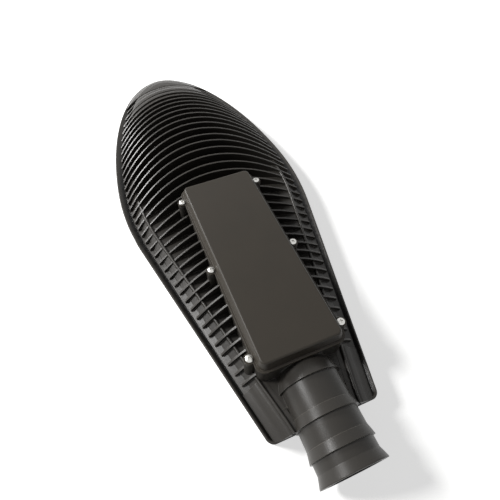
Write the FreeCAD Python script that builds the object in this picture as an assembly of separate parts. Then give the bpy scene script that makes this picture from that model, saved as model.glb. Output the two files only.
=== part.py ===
import FreeCAD, Part
import math
import os

os.makedirs("parts", exist_ok=True)
V = FreeCAD.Vector

# The head lies with its finned back up. The origin is on the axis of the pole socket at its mouth,
# +Y runs to the tip of the head and +Z out of the finned back. All sizes are in millimetres.

# Pole socket
bore_radius = 26.0
socket_wall = 4.0
bore_end_gap = 3.7
socket_end_wall = 5.0
mouth_rise = 3.0
mouth_taper = 9.0
band_steps = (20.1, 47.6)
last_step_gap = 16.9
band_rise = 2.3
band_taper = 9.4
band_root_rise = 0.2
socket_end_radius = 27.0
cable_hole_radius = 7.5
cable_hole_height = 13.0
cable_hole_start = 5.0
cable_hole_length = 20.0

# Plan of the head, as half-widths of the rim's outer edge
neck_y = 47.4
neck_half = 57.0
neck_corner = 7.0
widest_y = 378.0
widest_half = 120.5
side_bend = 78.0
tip_y = 656.0
nose_power = 1.72

# Section of the rim, as insets from the outer edge and heights
rim_top = -5.0
rest_plane = -34.0
wall_tuck = 5.0
edge_round = 0.8
lip_width = 1.8
gutter_inset_neck = 5.0
gutter_inset_front = 10.0
gutter_front_y = 480.0
gutter_depth = 3.0
gutter_riser = 1.8
step_inset = 14.8
step_height = -2.2
step_rise = 0.5
ridge_inset = 22.0
ridge_width = 1.4
ridge_rise = 0.6
plate_top = 3.0
floor_thickness = 4.0
skirt_wall = 2.7
ceiling_inset = 12.0
ceiling_drop = 9.0

# Fins
fin_count = 38
fin_thickness = 2.2
fin_first_y = 107.0
fin_pitch = 12.1
fin_even_count = 24
fin_spread = 1.9
fin_spread_growth = 0.0088
fin_end_inset = 9.5
fin_end_height = -1.0
fin_root_height = -7.0
side_fin_count = 19
neck_bow = 0.0022
mid_bow = 0.0058
bow_growth = 0.0002
neck_crown = 20.0
side_crown = 27.0
side_crown_fin = 6
waist_crown = 19.5
waist_crown_fin = 15
front_crown = 34.0
front_crown_fin = 25
nose_crown = 8.0
nose_crown_power = 1.8
nose_cap_steps = ((8.0, 5.0), (17.0, 9.0), (27.0, 11.5), (36.0, 12.6))

# Driver box
box_y = 223.2
box_half_width = 45.5
box_half_length = 123.5
box_corner = 9.0
box_wall = 3.0
box_top = 26.6
box_boss_radius = 5.5

# Driver cover and its screws
gasket_thickness = 0.8
flange_overhang = 1.0
flange_thickness = 2.5
cover_height = 12.0
cover_wall = 2.5
cover_shoulder = 1.4
cover_slope = 3.6
cover_edge_radius = 2.5
ear_radius = 5.5
cover_screw_x = 48.3
cover_screw_end_gap = 17.6
cover_screw_radius = 2.0
cover_screw_head_radius = 3.9
cover_screw_head_height = 2.4
cover_screw_depth = 12.0
screw_clearance = 0.25
thread_clearance = 0.02

# Driver and terminals
driver_length = 150.0
driver_width = 62.0
driver_height = 28.0
driver_end_gap = 4.7
driver_corner = 3.0
foot_length = 12.0
foot_thickness = 3.0
foot_screw_x = 20.0
floor_screw_radius = 1.9
floor_screw_head_radius = 3.6
floor_screw_head_height = 2.2
floor_boss_radius = 4.5
floor_boss_depth = 6.0
terminal_length = 22.0
terminal_width = 52.0
terminal_height = 17.0
terminal_end_gap = 14.3
terminal_pole_pitch = 14.0
terminal_entry_radius = 2.6
terminal_entry_height = 7.0
terminal_hole_radius = 2.2
terminal_fixing_x = 23.0
earth_x = -33.0
earth_end_gap = 47.3
earth_boss_height = 4.0
grommet_hole_radius = 4.2
grommet_clearance = 0.05
grommet_flange = 3.0
grommet_flange_rise = 2.0

# Light modules, measured from the underside of the floor
module_ys = (410.0, 530.0)
pad_side = 40.0
pad_thickness = 0.5
chip_side = 38.0
chip_thickness = 1.5
emitter_radius = 15.0
emitter_thickness = 0.6
holder_radius = 30.0
holder_thickness = 5.0
holder_window_radius = 16.5
holder_clearance = 0.3
holder_screw_x = 24.6
holder_screw_radius = 1.5
holder_screw_head_radius = 2.7
holder_screw_head_height = 1.6
holder_screw_length = 7.0
reflector_throat_radius = 18.0
reflector_wall = 1.2
collar_inner_radius = 38.0
collar_radius = 52.0
collar_height = 11.0
lens_gasket_thickness = 1.0
lens_flange_radius = 42.0
lens_flange_thickness = 4.0
lens_dome_radius = 36.0
lens_dome_height = 13.0
lens_hollow_radius = 33.0
lens_hollow_height = 9.0
ring_lip = 2.0
ring_opening_radius = 38.5
ring_clearance = 0.3
ring_screw_count = 6
ring_screw_circle = 47.0
ring_screw_radius = 2.0
ring_screw_head_radius = 3.6
ring_screw_head_height = 2.4
ring_screw_depth = 7.0
duct_width = 14.0
duct_radius = 3.5
duct_wall = 1.5
duct_reach = 12.0
duct_end_wall = 3.0
lead_hole_radius = 2.9

# Set screws under the socket
set_screw_ys = (35.0, 68.0)
set_screw_radius = 4.0
set_screw_tip = 26.3
set_screw_length = 7.0
set_key_radius = 2.3
set_key_depth = 3.5
set_boss_radius = 8.0
set_boss_reach = 33.0

# Sizes that follow from the ones above
socket_radius = bore_radius + socket_wall
floor_bottom = plate_top - floor_thickness
cover_base = box_top + gasket_thickness
flange_top = cover_base + flange_thickness
cover_top = cover_base + cover_height
nose_length = tip_y - widest_y
side_span = widest_y - neck_y
side_radius = side_bend * (side_span - side_bend / 2) / (widest_half - neck_half)
box_front = box_y + box_half_length
box_back = box_y - box_half_length
bore_depth = box_back - bore_end_gap
last_step = box_back - last_step_gap
cover_screw_pitch = box_half_length - cover_screw_end_gap
driver_y = box_front - box_wall - driver_end_gap - foot_length - driver_length / 2
terminal_y = box_back + box_wall + terminal_end_gap + terminal_length / 2
earth_y = box_back + box_wall + earth_end_gap


def half_width(y):
    """Half-width of the rim's outer edge and its slope, from neck to tip."""
    if y > widest_y:
        part = (y - widest_y) / nose_length
        half = widest_half * math.sqrt(1 - part ** nose_power)
        slope = -widest_half ** 2 * nose_power * part ** (nose_power - 1) / (2 * nose_length * half)
        return half, slope
    back = widest_y - y
    bend = min(back, side_bend)
    drop = bend * (back - bend / 2) / side_radius
    return widest_half - drop, bend / side_radius


def edge_point(y, inset_neck, inset_front, z):
    """Point of the outline moved inwards, square to the edge."""
    share = min(max((y - neck_y) / (gutter_front_y - neck_y), 0.0), 1.0)
    inset = inset_neck + (inset_front - inset_neck) * share
    half, slope = half_width(y)
    square = math.sqrt(1 + slope * slope)
    return V(half - inset / square, y + inset * slope / square, z)


def mirrored(point):
    return V(-point.x, point.y, point.z)


def outline(inset_neck, inset_front, z):
    """Closed outline: neck edge, two corners, two straight sides and one curve round the nose."""
    bend_y = widest_y - side_bend
    side_end = edge_point(bend_y, inset_neck, inset_front, z)
    corner = edge_point(neck_y, inset_neck, inset_front, z)
    side = (side_end - corner).normalize()
    corner = corner + side * ((neck_y + inset_neck - corner.y) / side.y)
    reach = max(neck_corner - 0.8 * inset_neck, 1.0)
    neck_tangent = corner - V(reach, 0, 0)
    side_tangent = corner + side * reach
    middle = (side - V(1, 0, 0)).normalize()
    half_angle = math.acos(side.dot(middle))
    arc_radius = reach * math.tan(half_angle)
    arc_middle = corner + middle * (reach / math.cos(half_angle) - arc_radius)
    nose = []
    for step in range(0, 4):
        nose.append(edge_point(bend_y + side_bend * step / 4, inset_neck, inset_front, z))
    for step in range(0, 10):
        back = 1 - step / 10
        nose.append(edge_point(widest_y + nose_length * (1 - back * back), inset_neck, inset_front, z))
    curve_points = nose + [V(0, tip_y - inset_front, z)] + [mirrored(p) for p in reversed(nose)]
    curve = Part.BSplineCurve()
    curve.interpolate(Points=curve_points, InitialTangent=side, FinalTangent=V(side.x, -side.y, 0))
    edges = [
        Part.LineSegment(mirrored(neck_tangent), neck_tangent).toShape(),
        Part.Arc(neck_tangent, arc_middle, side_tangent).toShape(),
        Part.LineSegment(side_tangent, side_end).toShape(),
        curve.toShape(),
        Part.LineSegment(mirrored(side_end), mirrored(side_tangent)).toShape(),
        Part.Arc(mirrored(side_tangent), mirrored(arc_middle), mirrored(neck_tangent)).toShape(),
    ]
    return Part.Wire(edges)


def stack(sections):
    """Solid whose sides run straight from one outline to the next."""
    return Part.makeLoft([outline(*section) for section in sections], True, True)


def polygon(points):
    return Part.Face(Part.makePolygon(points + [points[0]]))


def turned(profile, axis, base=V(0, 0, 0)):
    """Solid turned from (radius, height) points about an axis through base."""
    if axis == "y":
        points = [V(radius, height, 0) for radius, height in profile]
        solid = polygon(points).revolve(V(0, 0, 0), V(0, 1, 0), 360)
    else:
        points = [V(radius, 0, height) for radius, height in profile]
        solid = polygon(points).revolve(V(0, 0, 0), V(0, 0, 1), 360)
    solid.translate(base)
    return solid


def post(radius, x, y, low, high):
    """Upright round post or hole."""
    return Part.makeCylinder(radius, high - low, V(x, y, low))


def block(half_x, half_y, centre_y, low, high, corner=0.0):
    """Upright block centred on the axis, with round corners."""
    shape = Part.makeBox(2 * half_x, 2 * half_y, high - low, V(-half_x, centre_y - half_y, low))
    if corner > 0:
        upright = [e for e in shape.Edges if abs(e.Vertexes[0].Z - e.Vertexes[-1].Z) > 0.5 * (high - low)]
        shape = shape.makeFillet(corner, upright)
    return shape


def save(name, shape):
    shape.exportStep("parts/" + name + ".step")


# Housing


def rim_and_plate():
    """Rim, lip, gutter, stepped shoulder, ridge and plate, as one stack of outlines."""
    gutter_low = rim_top - gutter_depth
    return stack([
        (wall_tuck, wall_tuck, rest_plane),
        (0.0, 0.0, rim_top - edge_round),
        (edge_round, edge_round, rim_top),
        (lip_width, lip_width, rim_top),
        (gutter_inset_neck, gutter_inset_front, gutter_low),
        (gutter_inset_neck + 0.6, gutter_inset_front + 0.6, gutter_low + gutter_riser),
        (step_inset, step_inset, step_height),
        (step_inset + 0.2, step_inset + 0.2, step_height + step_rise),
        (ridge_inset, ridge_inset, plate_top),
        (ridge_inset + 0.1, ridge_inset + 0.1, plate_top + ridge_rise),
        (ridge_inset + ridge_width, ridge_inset + ridge_width, plate_top + ridge_rise),
        (ridge_inset + ridge_width + 0.4, ridge_inset + ridge_width + 0.4, plate_top),
    ])


def tray_hollow():
    """Open underside inside the skirt, with a ceiling that rises to the flat floor."""
    ceiling = floor_bottom - ceiling_drop
    return stack([
        (wall_tuck + skirt_wall, wall_tuck + skirt_wall, rest_plane - 1.0),
        (wall_tuck, wall_tuck, ceiling - 2.0),
        (ceiling_inset, ceiling_inset, ceiling),
        (ridge_inset + 2.0, ridge_inset + 2.0, floor_bottom),
    ])


def fin_rim_y(index):
    """Where a fin meets the rim: even steps along the sides, wider ones round the nose."""
    beyond = max(index - fin_even_count, 0)
    return fin_first_y + fin_pitch * index + fin_spread * beyond + fin_spread_growth * beyond ** 3


def eased(start, end, share):
    return start + (end - start) * (1 - math.cos(math.pi * share)) / 2


def fin_crown(index):
    """Height of a fin's top on the centre line."""
    if index < side_crown_fin:
        return eased(neck_crown, side_crown, index / side_crown_fin)
    if index < waist_crown_fin:
        return eased(side_crown, waist_crown, (index - side_crown_fin) / (waist_crown_fin - side_crown_fin))
    if index < front_crown_fin:
        span = front_crown_fin - waist_crown_fin
        return eased(waist_crown, front_crown, (index - waist_crown_fin) / span)
    share = (index - front_crown_fin) / (fin_count - 1 - front_crown_fin)
    return front_crown - (front_crown - nose_crown) * share ** nose_crown_power


def fin_bow(index):
    """Curvature of a fin in plan, bowed towards the tip."""
    if index < side_fin_count:
        return neck_bow + (mid_bow - neck_bow) * (index / side_fin_count) ** 3
    return mid_bow + bow_growth * (index - side_fin_count)


def fin_arc(index):
    """Half-length, rim position, bow depth and bow radius of a fin."""
    rim_y = fin_rim_y(index)
    reach = half_width(rim_y)[0] - fin_end_inset
    depth = fin_bow(index) * reach * reach / 2
    return reach, rim_y, depth, (reach * reach + depth * depth) / (2 * depth)


def fin(index):
    """One fin: a bowed upright strip under a long flat arch."""
    reach, rim_y, depth, radius = fin_arc(index)
    centre_y = rim_y + depth - radius
    angle = math.asin(reach / radius)
    rims = []
    for edge_radius in (radius - fin_thickness / 2, radius + fin_thickness / 2):
        spread = V(edge_radius * math.sin(angle), centre_y + edge_radius * math.cos(angle), fin_root_height)
        rims.append((mirrored(spread), V(0, centre_y + edge_radius, fin_root_height), spread))
    inner, outer = rims
    strip = Part.Face(Part.Wire([
        Part.Arc(*inner).toShape(),
        Part.LineSegment(inner[2], outer[2]).toShape(),
        Part.Arc(*reversed(outer)).toShape(),
        Part.LineSegment(outer[0], inner[0]).toShape(),
    ]))
    crown = fin_crown(index)
    strip = strip.extrude(V(0, 0, crown - fin_root_height + 1))
    start = rim_y - 2 * fin_thickness
    left = V(-reach, start, fin_end_height)
    right = V(reach, start, fin_end_height)
    arch = Part.Face(Part.Wire([
        Part.Arc(left, V(0, start, crown), right).toShape(),
        Part.LineSegment(right, V(reach, start, fin_root_height)).toShape(),
        Part.LineSegment(V(reach, start, fin_root_height), V(-reach, start, fin_root_height)).toShape(),
        Part.LineSegment(V(-reach, start, fin_root_height), left).toShape(),
    ]))
    return strip.common(arch.extrude(V(0, depth + 4 * fin_thickness, 0)))


def nose_cap():
    """Smooth closed nose beyond the last fin."""
    reach, rim_y, depth, radius = fin_arc(fin_count - 1)
    sections = [
        (lip_width, rim_top - 1.0),
        (lip_width + 0.4, rim_top + 0.4),
    ]
    sections += [(inset, rim_top + rise) for inset, rise in nose_cap_steps]
    cap = Part.makeLoft([outline(inset, inset, z) for inset, z in sections], True, True)
    behind = Part.makeCylinder(radius, 60, V(0, rim_y + depth - radius, -30))
    front = Part.makeBox(2 * widest_half, tip_y, 60, V(-widest_half, rim_y - 4.0, -30))
    return cap.common(front).cut(behind)


def cover_screw_points():
    points = []
    for x in (-cover_screw_x, cover_screw_x):
        for row in (-1, 0, 1):
            points.append((x, box_y + row * cover_screw_pitch))
    return points


def driver_box():
    """Outer block of the driver box with its six screw bosses."""
    body = block(box_half_width, box_half_length, box_y, floor_bottom, box_top, box_corner)
    bosses = [post(box_boss_radius, x, y, floor_bottom, box_top) for x, y in cover_screw_points()]
    return [body] + bosses


def socket_outside():
    """Turned outside of the pole socket: flared mouth and three tapering bands."""
    profile = [(0, 0), (socket_radius + mouth_rise, 0), (socket_radius + mouth_rise, 1.0)]
    profile.append((socket_radius, 1.0 + mouth_taper))
    for step in band_steps:
        profile.append((socket_radius, step))
        profile.append((socket_radius + band_rise, step))
        profile.append((socket_radius + band_root_rise, step + band_taper))
        profile.append((socket_radius, step + band_taper))
    end_y = bore_depth + socket_end_wall
    profile.append((socket_radius, last_step))
    profile.append((socket_radius + band_rise, last_step))
    profile.append((socket_end_radius, box_back - 0.9))
    profile.append((socket_end_radius, end_y))
    profile.append((0, end_y))
    return turned(profile, "y")


def module_collar(y):
    """Cast ring under the floor that a lens closes."""
    low = floor_bottom - collar_height
    ring = post(collar_radius, 0, y, low, floor_bottom + 1.0)
    return ring.cut(post(collar_inner_radius, 0, y, low, floor_bottom))


def duct_height():
    return floor_bottom - duct_radius - 1.0


def wiring_duct(start, end, bore_start, bore_end):
    """Cast rib under the floor that carries the leads to a light module, and its bore."""
    height = 2 * (duct_radius + duct_wall)
    corner = V(-duct_width / 2, start, floor_bottom - height)
    rib = Part.makeBox(duct_width, end - start, height + 1.0, corner)
    bore = Part.makeCylinder(duct_radius, bore_end - bore_start, V(0, bore_start, duct_height()), V(0, 1, 0))
    return rib, bore


def housing():
    body = rim_and_plate()
    fins = [fin(index) for index in range(fin_count)]
    body = body.multiFuse(fins + [nose_cap()] + driver_box())
    body = body.cut(tray_hollow())

    rear_y, front_y = module_ys
    duct_start = box_front - box_wall - duct_reach
    inside = collar_inner_radius - 2.0
    within = collar_inner_radius + 1.0
    rear_rib, rear_bore = wiring_duct(duct_start, rear_y - within, duct_start + duct_end_wall,
                                     rear_y - inside)
    front_rib, front_bore = wiring_duct(rear_y + within, front_y - within, rear_y + inside, front_y - inside)
    set_bosses = [post(set_boss_radius, 0, y, -set_boss_reach, -bore_radius - 1.0) for y in set_screw_ys]
    floor_bosses = [post(floor_boss_radius, x, y, floor_bottom - floor_boss_depth, floor_bottom + 1.0)
                    for x, y in floor_screw_points()]
    earth_boss = post(floor_boss_radius, earth_x, earth_y, floor_bottom, plate_top + earth_boss_height)
    body = body.multiFuse([socket_outside(), module_collar(rear_y), module_collar(front_y), rear_rib,
                           front_rib] + set_bosses + floor_bosses)

    hollow = block(box_half_width - box_wall, box_half_length - box_wall, box_y, plate_top,
                   box_top + 40.0, box_corner - box_wall)
    body = body.cut(hollow).fuse(earth_boss)
    bore = Part.makeCylinder(bore_radius, bore_depth + 1.0, V(0, -1.0, 0), V(0, 1, 0))
    cable_hole = Part.makeCylinder(cable_hole_radius, cable_hole_length,
                                   V(0, bore_depth - cable_hole_start, cable_hole_height), V(0, 1, 0))
    lead_y = duct_start + duct_end_wall + duct_radius
    lead_hole = post(lead_hole_radius, 0, lead_y, duct_height(), plate_top + 1.0)
    cuts = [bore, cable_hole, lead_hole, rear_bore, front_bore]
    for x, y in cover_screw_points():
        low = box_top - cover_screw_depth
        cuts.append(post(cover_screw_radius + thread_clearance, x, y, low, box_top + 1))
    for x, y in floor_screw_points():
        low = floor_bottom - floor_boss_depth + 1.0
        cuts.append(post(floor_screw_radius + thread_clearance, x, y, low, plate_top + 1))
    cuts.append(post(floor_screw_radius + thread_clearance, earth_x, earth_y, floor_bottom + 1.0,
                     plate_top + earth_boss_height + 1))
    for y in set_screw_ys:
        hole_radius = set_screw_radius + thread_clearance
        cuts.append(post(hole_radius, 0, y, -set_boss_reach - 1.0, -bore_radius + 2.0))
    for y in module_ys:
        for x, screw_y in ring_screw_points(y):
            low = floor_bottom - collar_height
            hole_radius = ring_screw_radius + thread_clearance
            cuts.append(post(hole_radius, x, screw_y, low - 1.0, low + ring_screw_depth))
        for x in (-holder_screw_x, holder_screw_x):
            top = floor_bottom + floor_thickness - 1.0
            cuts.append(post(holder_screw_radius + thread_clearance, x, y, floor_bottom - 1.0, top))
    return body.cut(cuts)


# Driver cover, gasket and screws


def eared_plate(overhang, low, high):
    """Plate over the box walls with an ear at each screw."""
    plate = block(box_half_width + overhang, box_half_length + overhang, box_y, low, high,
                  box_corner + overhang)
    return plate.multiFuse([post(ear_radius, x, y, low, high) for x, y in cover_screw_points()])


def bowl_middle(radius, base, rise):
    """Point halfway up a round bowl, for the arc from its rim to its middle."""
    sphere = (radius * radius + rise * rise) / (2 * abs(rise))
    half_angle = math.asin(radius / sphere) / 2
    height = abs(rise) - sphere * (1 - math.cos(half_angle))
    return V(sphere * math.sin(half_angle), 0, base + math.copysign(height, rise))


def screw_holes(radius, low, high):
    return [post(radius, x, y, low, high) for x, y in cover_screw_points()]


def cover_shell(inset, low, high, slope, corner):
    """Block whose four sides lean in by slope from low to high."""
    base_x = box_half_width + flange_overhang - inset
    base_y = box_half_length + flange_overhang - inset
    wires = []
    for share, z in ((0, low), (1, high)):
        lean = slope * share
        shape = block(base_x - lean, base_y - lean, box_y, z, z + 1.0, corner - lean)
        bottom = [f for f in shape.Faces if f.normalAt(0, 0).z < -0.9][0]
        wires.append(bottom.OuterWire)
    return Part.makeLoft(wires, True, True)


def driver_cover():
    body = cover_shell(cover_shoulder, cover_base, cover_top, cover_slope, box_corner)
    top = [e for e in body.Edges if min(v.Z for v in e.Vertexes) > cover_top - 0.1]
    body = body.makeFillet(cover_edge_radius, top)
    flange = eared_plate(flange_overhang, cover_base, flange_top)
    hollow = cover_shell(cover_shoulder + cover_wall + 1.0, cover_base - 1.0, cover_top - cover_wall,
                         cover_slope, box_corner - cover_wall)
    holes = screw_holes(cover_screw_radius + screw_clearance, cover_base - 1.0, flange_top + 1.0)
    return body.fuse(flange).cut([hollow] + holes).removeSplitter()


def cover_gasket():
    plate = eared_plate(0.0, box_top, cover_base)
    window = block(box_half_width - box_wall, box_half_length - box_wall, box_y, box_top - 1, cover_base + 1,
                   box_corner - box_wall)
    holes = screw_holes(cover_screw_radius + screw_clearance, box_top - 1, cover_base + 1)
    return plate.cut([window] + holes)


def pan_screw(radius, length, head_radius, head_height):
    """Pan head screw that points down from the origin, with a cross recess."""
    low = head_height * 0.45
    crown = Part.Wire([
        Part.LineSegment(V(0, 0, -length), V(radius, 0, -length)).toShape(),
        Part.LineSegment(V(radius, 0, -length), V(radius, 0, 0)).toShape(),
        Part.LineSegment(V(radius, 0, 0), V(head_radius, 0, 0)).toShape(),
        Part.LineSegment(V(head_radius, 0, 0), V(head_radius, 0, low)).toShape(),
        Part.Arc(V(head_radius, 0, low), bowl_middle(head_radius, low, head_height - low),
                 V(0, 0, head_height)).toShape(),
        Part.LineSegment(V(0, 0, head_height), V(0, 0, -length)).toShape(),
    ])
    body = Part.Face(crown).revolve(V(0, 0, 0), V(0, 0, 1), 360)
    long_side = head_radius * 0.55
    short_side = head_radius * 0.14
    depth = head_height * 0.6
    arms = [Part.makeBox(2 * a, 2 * b, depth + 1, V(-a, -b, head_height - depth))
            for a, b in ((long_side, short_side), (short_side, long_side))]
    return body.cut(arms)


def placed(shape, x, y, z, upside_down=False):
    copy = shape.copy()
    if upside_down:
        copy.rotate(V(0, 0, 0), V(1, 0, 0), 180)
    copy.translate(V(x, y, z))
    return copy


def cover_screws():
    length = flange_thickness + gasket_thickness + cover_screw_depth - 1.5
    screw = pan_screw(cover_screw_radius, length, cover_screw_head_radius, cover_screw_head_height)
    return Part.makeCompound([placed(screw, x, y, flange_top) for x, y in cover_screw_points()])


# Driver, terminals and their screws


def driver_screw_points():
    reach = driver_length / 2 + foot_length / 2
    return [(x, driver_y + end * reach) for end in (-1, 1) for x in (-foot_screw_x, foot_screw_x)]


def terminal_screw_points():
    return [(-terminal_fixing_x, terminal_y), (terminal_fixing_x, terminal_y)]


def floor_screw_points():
    return driver_screw_points() + terminal_screw_points()


def led_driver():
    case = block(driver_width / 2, driver_length / 2, driver_y, plate_top, plate_top + driver_height,
                 driver_corner)
    feet = block(driver_width / 2 - 4.0, driver_length / 2 + foot_length, driver_y, plate_top,
                 plate_top + foot_thickness, driver_corner)
    holes = [post(floor_screw_radius + screw_clearance, x, y, plate_top - 1, plate_top + foot_thickness + 1)
             for x, y in driver_screw_points()]
    return case.fuse(feet).cut(holes)


def terminal_block():
    top = plate_top + terminal_height
    entry_z = plate_top + terminal_entry_height
    body = block(terminal_width / 2, terminal_length / 2, terminal_y, plate_top, top)
    cuts = []
    for pole in (-1, 0, 1):
        x = pole * terminal_pole_pitch
        entry = Part.makeCylinder(terminal_entry_radius, terminal_length + 2,
                                  V(x, terminal_y - terminal_length / 2 - 1, entry_z), V(0, 1, 0))
        cuts.append(entry)
        for side in (-1, 1):
            y = terminal_y + side * terminal_length / 4
            cuts.append(post(terminal_hole_radius, x, y, entry_z, top + 1))
    for x, y in terminal_screw_points():
        cuts.append(post(floor_screw_radius + screw_clearance, x, y, plate_top - 1, top + 1))
        head_radius = floor_screw_head_radius + screw_clearance
        cuts.append(post(head_radius, x, y, plate_top + foot_thickness, top + 1))
    return body.cut(cuts)


def floor_screws(points, height):
    length = height - floor_bottom + floor_boss_depth - 2.5
    screw = pan_screw(floor_screw_radius, length, floor_screw_head_radius, floor_screw_head_height)
    return Part.makeCompound([placed(screw, x, y, height) for x, y in points])


def earth_screw():
    length = floor_thickness + earth_boss_height - 2.0
    screw = pan_screw(floor_screw_radius, length, floor_screw_head_radius, floor_screw_head_height)
    return placed(screw, earth_x, earth_y, plate_top + earth_boss_height)


def supply_grommet():
    """Rubber bush pushed through the end wall from the box side."""
    inside = box_back + box_wall
    profile = [
        (grommet_hole_radius, bore_depth),
        (cable_hole_radius - grommet_clearance, bore_depth),
        (cable_hole_radius - grommet_clearance, inside),
        (cable_hole_radius + grommet_flange_rise, inside),
        (cable_hole_radius + grommet_flange_rise, inside + grommet_flange - 1.0),
        (cable_hole_radius + 0.5, inside + grommet_flange),
        (grommet_hole_radius, inside + grommet_flange),
    ]
    return turned(profile, "y", V(0, 0, cable_hole_height))


# Light modules


def ring_screw_points(y):
    points = []
    for index in range(ring_screw_count):
        angle = 2 * math.pi * (index + 0.5) / ring_screw_count
        points.append((ring_screw_circle * math.cos(angle), y + ring_screw_circle * math.sin(angle)))
    return points


def thermal_pad(y):
    return block(pad_side / 2, pad_side / 2, y, floor_bottom - pad_thickness, floor_bottom)


def led_module(y):
    top = floor_bottom - pad_thickness
    plate = block(chip_side / 2, chip_side / 2, y, top - chip_thickness, top)
    low = top - chip_thickness
    return plate.fuse(post(emitter_radius, 0, y, low - emitter_thickness, low))


def cob_holder(y):
    low = floor_bottom - holder_thickness
    body = post(holder_radius, 0, y, low, floor_bottom)
    pocket_half = pad_side / 2 + holder_clearance
    pocket_low = floor_bottom - pad_thickness - chip_thickness
    pocket = block(pocket_half, pocket_half, y, pocket_low, floor_bottom + 1)
    cuts = [pocket, post(holder_window_radius, 0, y, low - 1, floor_bottom + 1)]
    for x in (-holder_screw_x, holder_screw_x):
        cuts.append(post(holder_screw_radius + screw_clearance, x, y, low - 1, floor_bottom + 1))
        cuts.append(post(holder_screw_head_radius + screw_clearance, x, y, low - 1,
                         low + holder_screw_head_height + 0.1))
    return body.cut(cuts)


def holder_screws():
    seat = floor_bottom - holder_thickness + holder_screw_head_height + 0.1
    shank = holder_screw_length - holder_screw_head_height
    screw = pan_screw(holder_screw_radius, shank, holder_screw_head_radius, holder_screw_head_height)
    return Part.makeCompound([placed(screw, x, y, seat, True)
                              for y in module_ys for x in (-holder_screw_x, holder_screw_x)])


def reflector(y):
    """Flared cup from the holder's window to the lens."""
    top = floor_bottom - holder_thickness
    low = floor_bottom - collar_height
    wide = lens_hollow_radius
    throat = reflector_throat_radius
    profile = [
        (throat, top),
        (throat + 2.0, top),
        (wide + reflector_wall, low + reflector_wall),
        (collar_inner_radius - 0.3, low + reflector_wall),
        (collar_inner_radius - 0.3, low),
        (wide, low),
        (throat, top - reflector_wall),
    ]
    return turned(profile, "z", V(0, y, 0))


def lens_gasket(y):
    top = floor_bottom - collar_height
    ring = post(lens_flange_radius, 0, y, top - lens_gasket_thickness, top)
    return ring.cut(post(collar_inner_radius, 0, y, top - 2 * lens_gasket_thickness, top + 1))


def lens(y):
    """Domed glass with a flat flange and a hollow back."""
    top = floor_bottom - collar_height - lens_gasket_thickness
    low = top - lens_flange_thickness
    half = lens_dome_radius
    dome_middle = bowl_middle(half, low, -lens_dome_height)
    hollow_middle = bowl_middle(lens_hollow_radius, top, -lens_hollow_height)
    section = Part.Wire([
        Part.LineSegment(V(lens_hollow_radius, 0, top), V(lens_flange_radius, 0, top)).toShape(),
        Part.LineSegment(V(lens_flange_radius, 0, top), V(lens_flange_radius, 0, low)).toShape(),
        Part.LineSegment(V(lens_flange_radius, 0, low), V(half, 0, low)).toShape(),
        Part.Arc(V(half, 0, low), dome_middle, V(0, 0, low - lens_dome_height)).toShape(),
        Part.LineSegment(V(0, 0, low - lens_dome_height), V(0, 0, top - lens_hollow_height)).toShape(),
        Part.Arc(V(0, 0, top - lens_hollow_height), hollow_middle, V(lens_hollow_radius, 0, top)).toShape(),
    ])
    shape = Part.Face(section).revolve(V(0, 0, 0), V(0, 0, 1), 360)
    shape.translate(V(0, y, 0))
    return shape


def lens_ring(y):
    top = floor_bottom - collar_height
    seat = top - lens_gasket_thickness - lens_flange_thickness
    low = seat - ring_lip
    profile = [
        (lens_flange_radius + ring_clearance, top),
        (collar_radius, top),
        (collar_radius, low + 2.0),
        (collar_radius - 2.0, low),
        (ring_opening_radius + 1.0, low),
        (ring_opening_radius, low + 1.0),
        (ring_opening_radius, seat),
        (lens_flange_radius + ring_clearance, seat),
    ]
    holes = [post(ring_screw_radius + screw_clearance, x, screw_y, low - 1, top + 1)
             for x, screw_y in ring_screw_points(y)]
    return turned(profile, "z", V(0, y, 0)).cut(holes)


def lens_ring_screws():
    low = floor_bottom - collar_height - lens_gasket_thickness - lens_flange_thickness - ring_lip
    length = lens_gasket_thickness + lens_flange_thickness + ring_lip + ring_screw_depth - 1.5
    screw = pan_screw(ring_screw_radius, length, ring_screw_head_radius, ring_screw_head_height)
    return Part.makeCompound([placed(screw, x, screw_y, low, True)
                              for y in module_ys for x, screw_y in ring_screw_points(y)])


def socket_set_screws():
    """Grub screws with a hexagon socket, their tips just short of the bore."""
    screws = []
    for y in set_screw_ys:
        low = -set_screw_tip - set_screw_length
        body = post(set_screw_radius, 0, y, low, -set_screw_tip)
        corners = []
        for corner in range(6):
            angle = math.radians(60 * corner)
            along = y + set_key_radius * math.sin(angle)
            corners.append(V(set_key_radius * math.cos(angle), along, low - 1))
        screws.append(body.cut(polygon(corners).extrude(V(0, 0, set_key_depth + 1))))
    return Part.makeCompound(screws)


save("housing", housing())
save("cover_gasket", cover_gasket())
save("driver_cover", driver_cover())
save("cover_screws", cover_screws())
save("led_driver", led_driver())
save("driver_screws", floor_screws(driver_screw_points(), plate_top + foot_thickness))
save("terminal_block", terminal_block())
save("terminal_screws", floor_screws(terminal_screw_points(), plate_top + foot_thickness))
save("supply_grommet", supply_grommet())
save("earth_screw", earth_screw())
for module_name, module_y in zip(("rear", "front"), module_ys):
    save("thermal_pad_" + module_name, thermal_pad(module_y))
    save("led_module_" + module_name, led_module(module_y))
    save("cob_holder_" + module_name, cob_holder(module_y))
    save("reflector_" + module_name, reflector(module_y))
    save("lens_gasket_" + module_name, lens_gasket(module_y))
    save("lens_" + module_name, lens(module_y))
    save("lens_ring_" + module_name, lens_ring(module_y))
save("holder_screws", holder_screws())
save("lens_ring_screws", lens_ring_screws())
save("socket_set_screws", socket_set_screws())
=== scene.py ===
import math

import bmesh
import bpy
from mathutils import Matrix, Vector
from mathutils.bvhtree import BVHTree


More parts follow.
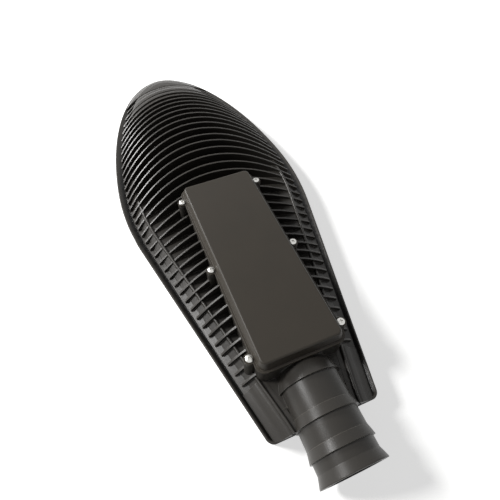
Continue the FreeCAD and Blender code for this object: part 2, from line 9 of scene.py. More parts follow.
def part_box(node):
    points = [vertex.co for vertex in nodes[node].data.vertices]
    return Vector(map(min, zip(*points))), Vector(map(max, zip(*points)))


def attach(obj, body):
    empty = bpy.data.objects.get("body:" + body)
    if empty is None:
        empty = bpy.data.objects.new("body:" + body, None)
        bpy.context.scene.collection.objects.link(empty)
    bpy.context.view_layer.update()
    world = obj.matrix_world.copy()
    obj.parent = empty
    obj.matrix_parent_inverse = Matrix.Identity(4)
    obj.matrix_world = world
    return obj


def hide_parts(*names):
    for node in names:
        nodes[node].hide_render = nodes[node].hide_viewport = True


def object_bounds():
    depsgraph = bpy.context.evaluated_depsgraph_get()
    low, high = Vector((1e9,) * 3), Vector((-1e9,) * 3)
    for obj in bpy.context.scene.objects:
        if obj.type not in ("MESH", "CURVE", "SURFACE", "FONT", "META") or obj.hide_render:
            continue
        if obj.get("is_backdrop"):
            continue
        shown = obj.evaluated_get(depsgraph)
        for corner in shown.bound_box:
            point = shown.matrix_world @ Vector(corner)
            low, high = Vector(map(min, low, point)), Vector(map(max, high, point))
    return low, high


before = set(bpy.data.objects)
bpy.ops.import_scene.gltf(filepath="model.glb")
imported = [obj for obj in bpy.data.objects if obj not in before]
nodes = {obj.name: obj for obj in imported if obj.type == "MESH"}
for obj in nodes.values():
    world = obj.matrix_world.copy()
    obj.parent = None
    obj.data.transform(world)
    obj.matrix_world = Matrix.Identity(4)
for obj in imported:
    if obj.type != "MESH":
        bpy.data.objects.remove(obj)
cad_low, cad_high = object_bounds()

# Camera
# The head is seen from above its left side, from near the socket, at about arm's length. Focal
# length and the slight roll are what the outline in the photo gives.
scene = bpy.context.scene
camera_place = Vector((-0.0968, -0.0090, 0.3872))
camera_target = Vector((0.0080, 0.2518, 0.0))
camera_roll = math.radians(0.787)
sensor_width = 36.0
focal_share = 0.7993

camera = bpy.data.cameras.new("camera")
camera.sensor_width = sensor_width
camera.lens = sensor_width * focal_share
camera.clip_start = 0.01
camera_object = bpy.data.objects.new("camera", camera)
scene.collection.objects.link(camera_object)
look = (camera_target - camera_place).to_track_quat("-Z", "Y").to_matrix().to_4x4()
camera_object.matrix_world = Matrix.Translation(camera_place) @ look @ Matrix.Rotation(-camera_roll, 4, "Z")
scene.camera = camera_object
scene.view_settings.view_transform = "Standard"


# Floor and light
# A pale matt table in a pale room, with one lamp beyond the tip and one at the left side. Table and
# room show white to the camera, to gloss and through glass. The table keeps the head's shadow, and
# its own white rises with the distance.
floor_colour = "#f4f4f2"
floor_size = 8.0
floor_lift = 0.62
floor_near = 0.6
floor_far = 1.8
key_direction = Vector((-0.50, 0.76, 0.42))
key_distance = 1.7
key_size = 0.45
key_power = 22.0
side_direction = Vector((-0.66, 0.22, 0.66))
side_size = 0.4
side_power = 24.0
room_level = 0.08


def linear(hex_colour):
    """sRGB hex to the linear colour that a shader takes."""
    channels = [int(hex_colour[i:i + 2], 16) / 255 for i in (1, 3, 5)]
    return [c / 12.92 if c <= 0.04045 else ((c + 0.055) / 1.055) ** 2.4 for c in channels] + [1.0]


def add_node(tree, kind, settings=None, inputs=None):
    """Adds a node. An input is a value, or a link given as [node, output name]."""
    node = tree.nodes.new(kind)
    for name, value in (settings or {}).items():
        setattr(node, name, value)
    for name, value in (inputs or {}).items():
        if isinstance(value, list) and isinstance(value[0], bpy.types.Node):
            tree.links.new(value[0].outputs[value[1]], node.inputs[name])
        else:
            node.inputs[name].default_value = value
    return node


head_middle = (cad_low + cad_high) / 2
floor_mesh = bmesh.new()
bmesh.ops.create_grid(floor_mesh, x_segments=1, y_segments=1, size=floor_size)
bmesh.ops.translate(floor_mesh, verts=floor_mesh.verts, vec=(0, 0, cad_low.z))
floor_data = bpy.data.meshes.new("floor")
floor_mesh.to_mesh(floor_data)
floor_mesh.free()
floor = bpy.data.objects.new("floor", floor_data)
scene.collection.objects.link(floor)
floor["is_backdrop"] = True


def shown_rays(tree):
    """1 for rays from the camera, in a reflection or through glass, and 0 for the rest."""
    rays = add_node(tree, "ShaderNodeLightPath")
    gloss = add_node(tree, "ShaderNodeMath", {"operation": "MAXIMUM"},
                     {0: [rays, "Is Glossy Ray"], 1: [rays, "Is Transmission Ray"]})
    return add_node(tree, "ShaderNodeMath", {"operation": "MAXIMUM"},
                    {0: [rays, "Is Camera Ray"], 1: [gloss, "Value"]})


floor_material = bpy.data.materials.new("matt_white_table")
floor_material.use_nodes = True
tree = floor_material.node_tree
tree.nodes.clear()
matt = add_node(tree, "ShaderNodeBsdfDiffuse", inputs={"Color": linear(floor_colour)})
place = add_node(tree, "ShaderNodeTexCoord")
away = add_node(tree, "ShaderNodeVectorMath", {"operation": "LENGTH"}, {0: [place, "Object"]})
rise = add_node(tree, "ShaderNodeMapRange",
                inputs={"Value": [away, "Value"], "From Min": floor_near, "From Max": floor_far,
                        "To Min": floor_lift, "To Max": 1.0})
lift = add_node(tree, "ShaderNodeMath", {"operation": "MULTIPLY"},
                {0: [shown_rays(tree), "Value"], 1: [rise, "Result"]})
glow = add_node(tree, "ShaderNodeEmission", inputs={"Strength": [lift, "Value"]})
both = add_node(tree, "ShaderNodeAddShader", inputs={0: [matt, "BSDF"], 1: [glow, "Emission"]})
add_node(tree, "ShaderNodeOutputMaterial", inputs={"Surface": [both, "Shader"]})
floor_data.materials.append(floor_material)

world = bpy.data.worlds.new("pale_room")
scene.world = world
world.use_nodes = True
tree = world.node_tree
tree.nodes.clear()
level = add_node(tree, "ShaderNodeMapRange",
                 inputs={"Value": [shown_rays(tree), "Value"], "To Min": room_level, "To Max": 1.0})
air = add_node(tree, "ShaderNodeBackground", inputs={"Color": (1, 1, 1, 1), "Strength": [level, "Result"]})
add_node(tree, "ShaderNodeOutputWorld", inputs={"Surface": [air, "Background"]})

for name, direction, power, size in (("key", key_direction, key_power, key_size),
                                     ("side", side_direction, side_power, side_size)):
    lamp = bpy.data.lights.new(name, "AREA")
    lamp.shape = "DISK"
    lamp.size = size
    lamp.energy = power
    lamp_object = bpy.data.objects.new(name, lamp)
    scene.collection.objects.link(lamp_object)
    lamp_object.location = head_middle + direction.normalized() * key_distance
    lamp_object.rotation_mode = "QUATERNION"
    lamp_object.rotation_quaternion = (-direction).to_track_quat("-Z", "Y")


# Housing
# Die-cast aluminium under a fine-textured charcoal powder coat: a dull grain with a faint sheen, a little
# lighter where the powder lies thick. The cast edges are painted paler, partly as a thinner coat and partly
# as a painted highlight, and the gutter's floor carries painted shade.
coat_colour = "#302e2b"
coat_light_colour = "#383531"
# Pale edge colour: partly the thinner coat over the cast edges and partly a painted highlight.
coat_pale_edge_and_highlight_colour = "#77726a"
coat_specular = 0.26
coat_roughness = 0.32
roughness_below = 0.06
roughness_above = 0.08
coat_grain = 0.0008
grain_relief = 0.00015
grain_strength = 0.6
coat_cloud = 0.035
edge_radius = 0.0005
edge_samples = 6
edge_turn = (0.99, 0.8)
edge_share = 0.7
# Painted shade: faces that look up from low in the rim's gutter are coloured near black, fading out toward
# the tip.
painted_gutter_shade_colour = "#121110"
painted_shade_facing = 0.3
gutter_top = -0.0056
gutter_low = -0.0066
painted_shade_from = 0.43
painted_shade_to = 0.58


def powder_coat(name, colour, light_colour, pale_edge_and_highlight_colour, roughness):
    """Grained coat, with rounded edges painted paler, partly as a thinner coat and partly as a painted
    highlight, and painted shade near black on the gutter's floor.
    """
    material = bpy.data.materials.new(name)
    material.use_nodes = True
    tree = material.node_tree
    shader = tree.nodes["Principled BSDF"]
    shader.inputs["Specular IOR Level"].default_value = coat_specular
    place = add_node(tree, "ShaderNodeTexCoord")
    cloud = add_node(tree, "ShaderNodeTexNoise",
                     inputs={"Vector": [place, "Object"], "Scale": 1 / coat_cloud, "Detail": 4.0})
    body = add_node(tree, "ShaderNodeMix", {"data_type": "RGBA"},
                    {"Factor": [cloud, "Fac"], 6: linear(colour), 7: linear(light_colour)})
    rounded = add_node(tree, "ShaderNodeBevel", {"samples": edge_samples}, {"Radius": edge_radius})
    surface = add_node(tree, "ShaderNodeNewGeometry")
    facing = add_node(tree, "ShaderNodeVectorMath", {"operation": "DOT_PRODUCT"},
                      {0: [rounded, "Normal"], 1: [surface, "Normal"]})
    # Edges found by the bevel are painted paler, partly as a thinner coat and partly as a painted highlight.
    edge = add_node(tree, "ShaderNodeMapRange",
                    inputs={"Value": [facing, "Value"], "From Min": edge_turn[0], "From Max": edge_turn[1],
                            "To Max": edge_share})
    tint = add_node(tree, "ShaderNodeMix", {"data_type": "RGBA"},
                    {"Factor": [edge, "Result"], 7: linear(pale_edge_and_highlight_colour)})
    tree.links.new(body.outputs[2], tint.inputs[6])
    spot = add_node(tree, "ShaderNodeSeparateXYZ", inputs={"Vector": [place, "Object"]})
    lean = add_node(tree, "ShaderNodeSeparateXYZ", inputs={"Vector": [surface, "Normal"]})
    # Painted shade mask: low in the gutter, facing up, and back from the tip.
    low = add_node(tree, "ShaderNodeMapRange",
                   inputs={"Value": [spot, "Z"], "From Min": gutter_top, "From Max": gutter_low,
                           "To Max": 1.0})
    ahead = add_node(tree, "ShaderNodeMapRange",
                     inputs={"Value": [spot, "Y"], "From Min": painted_shade_from, "From Max": painted_shade_to,
                             "To Min": 1.0, "To Max": 0.0})
    upward = add_node(tree, "ShaderNodeMath", {"operation": "GREATER_THAN"}, {0: [lean, "Z"], 1: painted_shade_facing})
    where = add_node(tree, "ShaderNodeMath", {"operation": "MULTIPLY"},
                     {0: [low, "Result"], 1: [ahead, "Result"]})
    painted_gutter_shade = add_node(tree, "ShaderNodeMath", {"operation": "MULTIPLY"},
                    {0: [where, "Value"], 1: [upward, "Value"]})
    coat = add_node(tree, "ShaderNodeMix", {"data_type": "RGBA"},
                    {"Factor": [painted_gutter_shade, "Value"], 7: linear(painted_gutter_shade_colour)})
    tree.links.new(tint.outputs[2], coat.inputs[6])
    grain = add_node(tree, "ShaderNodeTexNoise",
                     inputs={"Vector": [place, "Object"], "Scale": 1 / coat_grain, "Detail": 2.0})
    rough = add_node(tree, "ShaderNodeMapRange",
                     inputs={"Value": [grain, "Fac"], "To Min": roughness - roughness_below,
                             "To Max": roughness + roughness_above})
    bump = add_node(tree, "ShaderNodeBump",
                    inputs={"Height": [grain, "Fac"], "Strength": grain_strength, "Distance": grain_relief,
                            "Normal": [rounded, "Normal"]})
    tree.links.new(coat.outputs[2], shader.inputs["Base Color"])
    tree.links.new(rough.outputs["Result"], shader.inputs["Roughness"])
    tree.links.new(bump.outputs["Normal"], shader.inputs["Normal"])
    return material


def dress(node_name, material):
    """One material all over a CAD node."""
    data = nodes[node_name].data
    data.materials.clear()
    data.materials.append(material)


charcoal_coat = powder_coat("charcoal_powder_coat", coat_colour, coat_light_colour, coat_pale_edge_and_highlight_colour,
                            coat_roughness)
dress("housing", charcoal_coat)


# Shoulder beads and neck ends of the housing
# The casting's shoulder carries a round bead inside the gutter on each side and runs out square at
# the neck, beside the socket. Cast in one with the housing and under the same coat. The sections
# are insets from the rim's outer edge, with heights.
neck_y = 0.0474
neck_half = 0.0570
widest_y = 0.378
widest_half = 0.1205
side_bend = 0.078
tip_y = 0.656
nose_power = 1.72
side_span = widest_y - neck_y
side_radius = side_bend * (side_span - side_bend / 2) / (widest_half - neck_half)
rim_step = 0.001
neck_end = 0.0479
bead_section = ((0.0212, -0.0020), (0.0215, 0.0040), (0.0219, 0.0051), (0.0226, 0.0058),
                (0.0234, 0.0060), (0.0242, 0.0058), (0.0249, 0.0051), (0.0253, 0.0040),
                (0.0256, -0.0020))
bead_end = 0.4100
bead_steps = 40
bead_fade = 0.0800
bead_sink = 0.0060
neck_section = ((0.0050, -0.0085), (0.0052, -0.0063), (0.0105, -0.0030), (0.0125, -0.0021),
                (0.0145, -0.0004), (0.0164, 0.0009), (0.0184, 0.0022), (0.0202, 0.0034),
                (0.0300, 0.0034), (0.0300, -0.0085))
neck_length = 0.0500
neck_steps = 8
neck_sink = 0.0002
neck_square = 0.0150
sharp_angle = math.radians(35)


def rim_half(y):
    """Half-width of the rim's outer edge at a distance along the head."""
    if y > widest_y:
        return widest_half * math.sqrt(1 - ((y - widest_y) / (tip_y - widest_y)) ** nose_power)
    bend = min(widest_y - y, side_bend)
    return widest_half - bend * (widest_y - y - bend / 2) / side_radius


def rim_slope(y):
    """How fast the rim widens along the head."""
    return (rim_half(y + rim_step) - rim_half(y - rim_step)) / (2 * rim_step)


def clamped(value):
    """The value, held between 0 and 1."""
    return min(max(value, 0), 1)


def cast_piece(name, data):
    """Piece of the housing's casting, from its mesh."""
    data.materials.append(charcoal_coat)
    data.shade_smooth()
    piece = bpy.data.objects.new(name, data)
    scene.collection.objects.link(piece)
    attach(piece, "root")


def swept(name, section, side, end, steps, fade, sink):
    """Closed strip from the neck along one side of the rim, which sinks over its last stretch."""
    form = bmesh.new()
    ring = []
    for step in range(steps + 1):
        y = neck_end + (end - neck_end) * step / steps
        turn = min((y - neck_end) / neck_square, 1)
        inward = Vector((-side, rim_slope(y) * turn, 0)).normalized()
        drop = sink * clamped((y - end) / fade + 1) ** 2
        spots = [Vector((side * rim_half(y), y, -drop)) + inset * inward + Vector((0, 0, z))
                 for inset, z in section]
        if not ring:
            corners = [form.verts.new(spot) for spot in spots]
            ring = [form.edges.new(pair) for pair in zip(corners, corners[1:] + corners[:1])]
            bmesh.ops.edgeloop_fill(form, edges=ring)
            continue
        grown = bmesh.ops.extrude_edge_only(form, edges=ring)["geom"]
        ring = [part for part in grown if isinstance(part, bmesh.types.BMEdge)]
        form.verts.index_update()
        grown_corners = {vert for edge in ring for vert in edge.verts}
        for corner, spot in zip(sorted(grown_corners, key=lambda vert: vert.index), spots):
            corner.co = spot
    bmesh.ops.edgeloop_fill(form, edges=ring)
    bmesh.ops.recalc_face_normals(form, faces=form.faces)
    data = bpy.data.meshes.new(name)
    form.to_mesh(data)
    form.free()
    data.set_sharp_from_angle(angle=sharp_angle)
    cast_piece(name, data)


for side, name in ((-1, "left"), (1, "right")):
    swept("shoulder_bead_" + name, bead_section, side, bead_end, bead_steps, bead_fade, bead_sink)
    swept("neck_end_" + name, neck_section, side, neck_end + neck_length, neck_steps, neck_length, neck_sink)


# Nose web of the housing
# Toward the tip the casting's valleys rise until the last fins are ripples on a smooth nose. It is
# the same casting, so it wears the same coat. Each point takes the height of the fins and of the
# valleys near it, and lies between them.
web_low_y = 0.465
web_high_y = 0.640
web_half = 0.105
web_cell = 0.0015
web_reach = 0.009
web_looks = 6
web_above = 0.1
fin_bow = 3.48
ripple_from = 0.510
ripple_to = 0.600
ripple_deep = 0.0130
ripple_shallow = 0.0006
ripple_power = 0.6
web_edge = (0.009, 0.018)
web_thick = 0.0015
web_fade_from = 0.606
web_fade_to = 0.634
crest_smoothing = 12
web_smoothing = 8

casting = BVHTree.FromObject(nodes["housing"], bpy.context.evaluated_depsgraph_get())
web = bmesh.new()
bmesh.ops.create_grid(web, x_segments=round(2 * web_half / web_cell),
                      y_segments=round((web_high_y - web_low_y) / web_cell), size=0.5)
bmesh.ops.scale(web, verts=web.verts, vec=(2 * web_half, web_high_y - web_low_y, 1))
bmesh.ops.translate(web, verts=web.verts, vec=(0, (web_low_y + web_high_y) / 2, 0))


def inside_rim(spot):
    """Distance inside the rim's outer edge, roughly square to it."""
    return (rim_half(spot.y) - abs(spot.x)) / math.sqrt(1 + rim_slope(spot.y) ** 2)


def smooth_heights(turns):
    """Evens the web's heights and keeps its plan."""
    for turn in range(turns):
        bmesh.ops.smooth_vert(web, verts=web.verts, factor=0.5, use_axis_z=True)


outside = [vert for vert in web.verts if inside_rim(vert.co) < web_edge[0]]
bmesh.ops.delete(web, geom=outside, context="VERTS")
floors = {}
for vert in web.verts:
    heights = []
    for step in range(-web_looks, web_looks + 1):
        above = Vector((vert.co.x, vert.co.y + web_reach * step / web_looks, web_above))
        hit = casting.ray_cast(above, Vector((0, 0, -1)))[0]
        if hit:
            heights.append(hit.z)
    floors[vert] = min(heights)
    vert.co.z = max(heights)
smooth_heights(crest_smoothing)
for vert in web.verts:
    along = vert.co.y + fin_bow * vert.co.x ** 2
    share = clamped((along - ripple_from) / (ripple_to - ripple_from))
    level = vert.co.z - ripple_deep + (ripple_deep - ripple_shallow) * share ** ripple_power
    inset = clamped((inside_rim(vert.co) - web_edge[0]) / (web_edge[1] - web_edge[0]))
    fade = clamped((web_fade_to - along) / (web_fade_to - web_fade_from))
    weight = inset * inset * (3 - 2 * inset) * fade * fade * (3 - 2 * fade)
    low = floors[vert] - web_thick
    vert.co.z = max(low, low + (level - low) * weight)
smooth_heights(web_smoothing)
below = bmesh.ops.extrude_face_region(web, geom=web.faces[:])["geom"]
bmesh.ops.translate(web, verts=[part for part in below if isinstance(part, bmesh.types.BMVert)],
                    vec=(0, 0, -web_thick / 2))
bmesh.ops.recalc_face_normals(web, faces=web.faces)
web_data = bpy.data.meshes.new("nose_web")
web.to_mesh(web_data)
web.free()
cast_piece("nose_web", web_data)


# Driver
# Potted driver in a satin case of extruded aluminium, whose feet are screwed to the box's floor.
# The die leaves faint lines along the case.
case_colour = "#a9abad"
case_line_colour = "#b7b9ba"
case_line = 0.0009
case_line_draw = 0.02
spot_roughness = (0.8, 1.2)
spot_strength = 0.5


def spotted(name, colour, second_colour, roughness, metallic=0.0, spot=0.004, depth=0.00003,
            stretch=(1, 1, 1)):
    """Plain finish with two close tones and a little relief, the spots drawn out where the finish is."""
    material = bpy.data.materials.new(name)
    material.use_nodes = True
    tree = material.node_tree
    shader = tree.nodes["Principled BSDF"]
    shader.inputs["Metallic"].default_value = metallic
    place = add_node(tree, "ShaderNodeTexCoord")
    drawn = add_node(tree, "ShaderNodeMapping", inputs={"Vector": [place, "Object"], "Scale": stretch})
    spots = add_node(tree, "ShaderNodeTexNoise",
                     inputs={"Vector": [drawn, "Vector"], "Scale": 1 / spot, "Detail": 3.0})
    tint = add_node(tree, "ShaderNodeMix", {"data_type": "RGBA"},
                    {"Factor": [spots, "Fac"], 6: linear(colour), 7: linear(second_colour)})
    rough = add_node(tree, "ShaderNodeMapRange",
                     inputs={"Value": [spots, "Fac"], "To Min": roughness * spot_roughness[0],
                             "To Max": roughness * spot_roughness[1]})
    bump = add_node(tree, "ShaderNodeBump",
                    inputs={"Height": [spots, "Fac"], "Strength": spot_strength, "Distance": depth})
    tree.links.new(tint.outputs[2], shader.inputs["Base Color"])
    tree.links.new(rough.outputs["Result"], shader.inputs["Roughness"])
    tree.links.new(bump.outputs["Normal"], shader.inputs["Normal"])
    return material


extruded_aluminium = spotted("satin_extruded_aluminium", case_colour, case_line_colour, roughness=0.36,
                             metallic=1.0, spot=case_line, stretch=(1, case_line_draw, 1))
dress("led_driver", extruded_aluminium)


# Driver and terminal screws
# Zinc-plated steel pan heads with a cross recess, cold-headed. They hold the driver's feet and the
# terminal block. Each stands at its own angle, as it was driven.
head_rim_share = 0.45
head_seat_share = 0.96
head_chamfer_share = 0.1
tip_share = 0.7
tip_length_share = 0.5
recess_reach = 0.6
recess_width = 0.17
recess_depth = 0.62
recess_taper = 0.6
head_steps = 36
dome_steps = 6
drive_turn = 2.4
drive_start = 0.5


def cross_head_screw(head_radius, head_height, shank_radius, length):
    """Mesh of a pan head screw that points down from its seat at the origin."""
    rim = head_rim_share * head_height
    rise = head_height - rim
    sphere = (head_radius ** 2 + rise ** 2) / (2 * rise)
    spread = math.asin(head_radius / sphere)
    points = [(0, -length), (tip_share * shank_radius, -length),
              (shank_radius, tip_length_share * shank_radius - length), (shank_radius, 0),
              (head_seat_share * head_radius, 0), (head_radius, head_chamfer_share * rim), (head_radius, rim)]
    for step in range(1, dome_steps + 1):
        angle = spread * (1 - step / dome_steps)
        points.append((sphere * math.sin(angle), head_height - sphere * (1 - math.cos(angle))))
    form = bmesh.new()
    corners = [form.verts.new((radius, 0, height)) for radius, height in points]
    outline = [form.edges.new(pair) for pair in zip(corners, corners[1:])]
    bmesh.ops.spin(form, geom=corners + outline, axis=(0, 0, 1), cent=(0, 0, 0), angle=2 * math.pi,
                   steps=head_steps, use_merge=True)
    bmesh.ops.remove_doubles(form, verts=form.verts, dist=1e-6)
    bmesh.ops.recalc_face_normals(form, faces=form.faces)
    data = bpy.data.meshes.new("screw_blank")
    form.to_mesh(data)
    form.free()

    punch = bmesh.new()
    for turn in (0, math.pi / 2):
        arm = bmesh.ops.create_cube(punch, size=2.0)["verts"]
        foot = [vert for vert in arm if vert.co.z < 0]
        bmesh.ops.scale(punch, verts=foot, vec=(recess_taper, recess_taper, 1))
        bmesh.ops.scale(punch, verts=arm, vec=(recess_reach * head_radius, recess_width * head_radius,
                                               recess_depth * head_height))
        bmesh.ops.rotate(punch, verts=arm, cent=(0, 0, 0), matrix=Matrix.Rotation(turn, 3, "Z"))
        bmesh.ops.translate(punch, verts=arm, vec=(0, 0, head_height))
    punch_data = bpy.data.meshes.new("screw_punch")
    punch.to_mesh(punch_data)
    punch.free()

    blank = bpy.data.objects.new("screw_blank", data)
    cutter = bpy.data.objects.new("screw_punch", punch_data)
    for part in (blank, cutter):
        scene.collection.objects.link(part)
    recess = blank.modifiers.new("recess", "BOOLEAN")
    recess.object = cutter
    recess.operation = "DIFFERENCE"
    recess.solver = "EXACT"
    recess.use_self = True
    screw = bpy.data.meshes.new_from_object(blank.evaluated_get(bpy.context.evaluated_depsgraph_get()))
    for part in (blank, cutter):
        bpy.data.objects.remove(part)
    return screw


def screw_group(name, screw, places, node_name, material, upside_down=False):
    """All the screws of one node, each turned to its own angle."""
    group = bmesh.new()
    for index, place in enumerate(places):
        before = len(group.verts)
        group.from_mesh(screw)
        group.verts.ensure_lookup_table()
        new = group.verts[before:]
        stand = Matrix.Rotation(math.pi if upside_down else 0, 4, "X")
        turn = Matrix.Rotation(drive_turn * index + drive_start, 4, "Z")
        bmesh.ops.transform(group, matrix=Matrix.Translation(place) @ stand @ turn, verts=new)
    data = bpy.data.meshes.new(name)
    group.to_mesh(data)
    group.free()
    data.materials.append(material)
    data.set_sharp_from_angle(angle=sharp_angle)
    piece = bpy.data.objects.new(name, data)
    scene.collection.objects.link(piece)
    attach(piece, "root")
    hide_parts(node_name)


def corner_places(node_name, head_radius, rows, seat):
    """Places of screws in two columns, from the box of their node."""
    low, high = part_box(node_name)
    xs = (low[0] + head_radius, high[0] - head_radius)
    first = low[1] + head_radius
    last = high[1] - head_radius
    ys = [first + (last - first) * row / max(rows - 1, 1) for row in range(rows)]
    return [Vector((x, y, seat)) for x in xs for y in ys]


floor_head_radius = 0.0036
floor_head_height = 0.0022
floor_shank_radius = 0.0019

zinc_plate = spotted("bright_zinc_plate", "#b8bcc2", "#c9ccd0", roughness=0.3, metallic=1.0, spot=0.0012)
for node_name, rows in (("driver_screws", 2), ("terminal_screws", 1)):
    low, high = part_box(node_name)
    seat = high[2] - floor_head_height
    screw = cross_head_screw(floor_head_radius, floor_head_height, floor_shank_radius, seat - low[2])
    places = corner_places(node_name, floor_head_radius, rows, seat)
    screw_group(node_name + "_driven", screw, places, node_name, zinc_plate)


# Terminal block
# Three-pole block moulded in off-white polyamide, slightly waxy, with faint flow marks. Two screws
# hold it to the box's floor.
dress("terminal_block", spotted("moulded_polyamide", "#dad7cb", "#e4e1d7", roughness=0.42, spot=0.006))


# Earth screw
# Plain brass pan head with a cross recess, driven into a cast boss of its own. It clamps the
# bonding lead.
brass = spotted("plain_brass", "#b08d4a", "#c2a05c", roughness=0.3, metallic=1.0, spot=0.0015)
low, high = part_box("earth_screw")
seat = high[2] - floor_head_height
screw = cross_head_screw(floor_head_radius, floor_head_height, floor_shank_radius, seat - low[2])
screw_group("earth_screw_driven", screw, [Vector(((low[0] + high[0]) / 2, (low[1] + high[1]) / 2, seat))],
            "earth_screw", brass)


# Supply grommet and cover gasket
# Black rubber: a bush pressed into the end wall, and a flat seal that shows as a dark line under
# the cover. Both are dull, with the fine bloom that moulded rubber has.
black_rubber = spotted("moulded_black_rubber", "#171717", "#242424", roughness=0.72, spot=0.0015)
for node_name in ("supply_grommet", "cover_gasket"):
    dress(node_name, black_rubber)


# Driver cover
# Die-cast lid in the same powder coat as the housing, slightly browner over its broad flat top. It
# is screwed down by six ears, with the gasket under it.
cover_colour = "#322e28"
cover_light_colour = "#38332c"
# Pale edge colour of the lid: partly a thinner coat and partly a painted highlight.
cover_pale_edge_and_highlight_colour = "#726c63"
cover_roughness = 0.42

grey_brown_coat = powder_coat("grey_brown_powder_coat", cover_colour, cover_light_colour, cover_pale_edge_and_highlight_colour,
                              cover_roughness)
dress("driver_cover", grey_brown_coat)


# Cover screws
# Six stainless pan heads with a cross recess, cold-headed and tumbled bright, one in each ear of
# the cover. They go down into the housing's bosses.
cover_head_radius = 0.0039
cover_head_height = 0.0024
cover_shank_radius = 0.0020

stainless = spotted("tumbled_stainless_steel", "#c4c3bf", "#d2d1cd", roughness=0.24, metallic=1.0,
                    spot=0.0012)
low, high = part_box("cover_screws")
seat = high[2] - cover_head_height
screw = cross_head_screw(cover_head_radius, cover_head_height, cover_shank_radius, seat - low[2])
screw_group("cover_screws_driven", screw, corner_places("cover_screws", cover_head_radius, 3, seat),
            "cover_screws", stainless)


# Heat pads and light modules
# Grey-blue silicone pads, and against each a ceramic plate with a round field of yellow phosphor.
# The holders press both to the casting.
pad_colour = "#6f808b"
ceramic_colour = "#d8d5cb"
phosphor_colour = "#e2b53a"
phosphor_radius = 0.0150
phosphor_overlap = 1.005
phosphor_grain = 0.0008
phosphor_roughness = (0.3, 0.55)


def light_plate(name, centre):
    """Pale ceramic outside the round phosphor field."""
    material = bpy.data.materials.new(name)
    material.use_nodes = True
    tree = material.node_tree
    shader = tree.nodes["Principled BSDF"]
    place = add_node(tree, "ShaderNodeTexCoord")
    flat = add_node(tree, "ShaderNodeMapping",
                    inputs={"Vector": [place, "Object"], "Location": (-centre[0], -centre[1], 0),
                            "Scale": (1, 1, 0)})
    reach = add_node(tree, "ShaderNodeVectorMath", {"operation": "LENGTH"}, {0: [flat, "Vector"]})
    field = add_node(tree, "ShaderNodeMath", {"operation": "LESS_THAN"},
                     {0: [reach, "Value"], 1: phosphor_radius * phosphor_overlap})
    grain = add_node(tree, "ShaderNodeTexNoise",
                     inputs={"Vector": [place, "Object"], "Scale": 1 / phosphor_grain, "Detail": 2.0})
    tint = add_node(tree, "ShaderNodeMix", {"data_type": "RGBA"},
                    {"Factor": [field, "Value"], 6: linear(ceramic_colour), 7: linear(phosphor_colour)})
    rough = add_node(tree, "ShaderNodeMapRange",
                     inputs={"Value": [grain, "Fac"], "To Min": phosphor_roughness[0],
                             "To Max": phosphor_roughness[1]})
    tree.links.new(tint.outputs[2], shader.inputs["Base Color"])
    tree.links.new(rough.outputs["Result"], shader.inputs["Roughness"])
    return material


heat_pad = spotted("grey_silicone_pad", pad_colour, "#7d8d97", roughness=0.6, spot=0.002)
for side in ("rear", "front"):
    dress("thermal_pad_" + side, heat_pad)
    low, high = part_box("led_module_" + side)
    centre = ((low[0] + high[0]) / 2, (low[1] + high[1]) / 2)
    dress("led_module_" + side, light_plate("phosphor_plate_" + side, centre))


# Holders and their screws
# Moulded rings of white polycarbonate that press the plates to the casting. Two small zinc-plated
# pan heads hold each of them, driven in from below.
holder_head_radius = 0.0027
holder_head_height = 0.0016
holder_shank_radius = 0.0015

white_polycarbonate = spotted("moulded_white_polycarbonate", "#e6e6e1", "#efefeb", roughness=0.35,
                              spot=0.005)
for side in ("rear", "front"):
    dress("cob_holder_" + side, white_polycarbonate)
low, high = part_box("holder_screws")
seat = low[2] + holder_head_height
screw = cross_head_screw(holder_head_radius, holder_head_height, holder_shank_radius, high[2] - seat)
screw_group("holder_screws_driven", screw, corner_places("holder_screws", holder_head_radius, 2, seat),
            "holder_screws", zinc_plate, upside_down=True)


# Reflectors
# Moulded plastic cups with a vacuum-coated aluminium skin, nearly a mirror with a slight orange
# peel. Each flares from its holder's window to its lens.
reflector_skin = spotted("vacuum_metallised_aluminium", "#dcdedf", "#e6e7e8", roughness=0.07,
                         metallic=1.0, spot=0.003, depth=0.00001)
for side in ("rear", "front"):
    dress("reflector_" + side, reflector_skin)


# Lenses and their gaskets
# Pressed borosilicate glass, clear with a faint green cast and slight waves from the mould, on flat
# seals of grey silicone.
glass_colour = "#f2f8f5"
glass_ior = 1.47
glass_wave = 0.018
glass_relief = 0.0004
glass_strength = 0.2
glass_roughness = (0.02, 0.07)

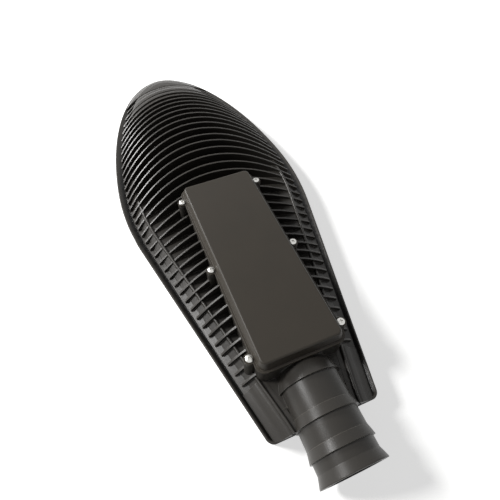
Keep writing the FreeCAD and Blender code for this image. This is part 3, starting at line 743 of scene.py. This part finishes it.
pressed_glass = bpy.data.materials.new("pressed_borosilicate_glass")
pressed_glass.use_nodes = True
tree = pressed_glass.node_tree
shader = tree.nodes["Principled BSDF"]
shader.inputs["Base Color"].default_value = linear(glass_colour)
shader.inputs["Transmission Weight"].default_value = 1.0
shader.inputs["IOR"].default_value = glass_ior
place = add_node(tree, "ShaderNodeTexCoord")
wave = add_node(tree, "ShaderNodeTexNoise", inputs={"Vector": [place, "Object"], "Scale": 1 / glass_wave})
smear = add_node(tree, "ShaderNodeMapRange",
                 inputs={"Value": [wave, "Fac"], "To Min": glass_roughness[0], "To Max": glass_roughness[1]})
bump = add_node(tree, "ShaderNodeBump",
                inputs={"Height": [wave, "Fac"], "Strength": glass_strength, "Distance": glass_relief})
tree.links.new(smear.outputs["Result"], shader.inputs["Roughness"])
tree.links.new(bump.outputs["Normal"], shader.inputs["Normal"])
grey_silicone = spotted("moulded_grey_silicone", "#9a9a96", "#a6a6a2", roughness=0.6, spot=0.002)
for side in ("rear", "front"):
    dress("lens_" + side, pressed_glass)
    dress("lens_gasket_" + side, grey_silicone)


# Lens rings and their screws
# Die-cast rings in the housing's powder coat, which hold the lenses on their seals. Six stainless
# pan heads go up into the casting through each of them.
ring_head_radius = 0.0036
ring_head_height = 0.0024
ring_shank_radius = 0.0020
ring_screw_count = 6

ring_places = []
low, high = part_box("lens_ring_screws")
seat = low[2] + ring_head_height
first_angle = math.pi / ring_screw_count
circle = (high[0] - ring_head_radius) / math.cos(first_angle)
for side in ("rear", "front"):
    dress("lens_ring_" + side, charcoal_coat)
    ring_low, ring_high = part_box("lens_ring_" + side)
    for index in range(ring_screw_count):
        angle = first_angle + 2 * math.pi * index / ring_screw_count
        ring_places.append(Vector((circle * math.cos(angle),
                                   (ring_low[1] + ring_high[1]) / 2 + circle * math.sin(angle), seat)))
screw = cross_head_screw(ring_head_radius, ring_head_height, ring_shank_radius, high[2] - seat)
screw_group("lens_ring_screws_driven", screw, ring_places, "lens_ring_screws", stainless,
            upside_down=True)


# Socket set screws
# Zinc-plated grub screws with a hexagon socket, in bosses under the pole socket, which they clamp
# on the pole arm. Their form is in the solids.
dress("socket_set_screws", zinc_plate)

low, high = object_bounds()
